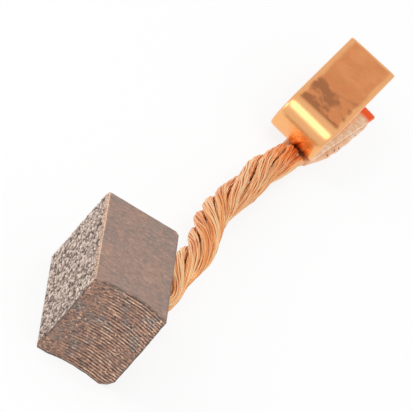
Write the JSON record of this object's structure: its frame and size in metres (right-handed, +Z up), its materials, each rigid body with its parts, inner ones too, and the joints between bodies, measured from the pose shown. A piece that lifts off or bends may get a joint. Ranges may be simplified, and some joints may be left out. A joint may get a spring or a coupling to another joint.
{
  "type": "carbon brush",
  "caption": "Copper-graphite brush block with a worn hollow contact face, a twisted copper lead out of its side, and a folded copper strip terminal welded to the lead's flattened end.",
  "frame": {"origin": "middle of the block's foot, the long face that the block lies on", "axes": "+X out of the face that the lead leaves, +Y from the worn contact end to the back end and on towards the terminal, +Z up from the foot to the smooth top face"},
  "size_m": [0.0322, 0.0668, 0.0095],
  "materials": {
    "copper_graphite": "pressed and sintered copper-graphite, matt, granular on one side, fine ground on top",
    "copper_powder": "tamped copper powder, matt",
    "lead_copper": "bare annealed copper wires, laid up in strands, semi-bright",
    "welded_copper": "pressed and welded copper, pale, pitted",
    "strip_copper": "rolled copper strip, bright at the fold and edges, browned on the flat"
  },
  "bodies": {
    "root": {"carbon_block": "copper_graphite", "tamping_plug": "copper_powder", "lead_strand_1": "lead_copper", "lead_strand_2": "lead_copper", "lead_strand_3": "lead_copper", "lead_strand_4": "lead_copper", "lead_strand_5": "lead_copper", "lead_end": "welded_copper", "terminal_strip": "strip_copper"}
  },
  "joints": []
}
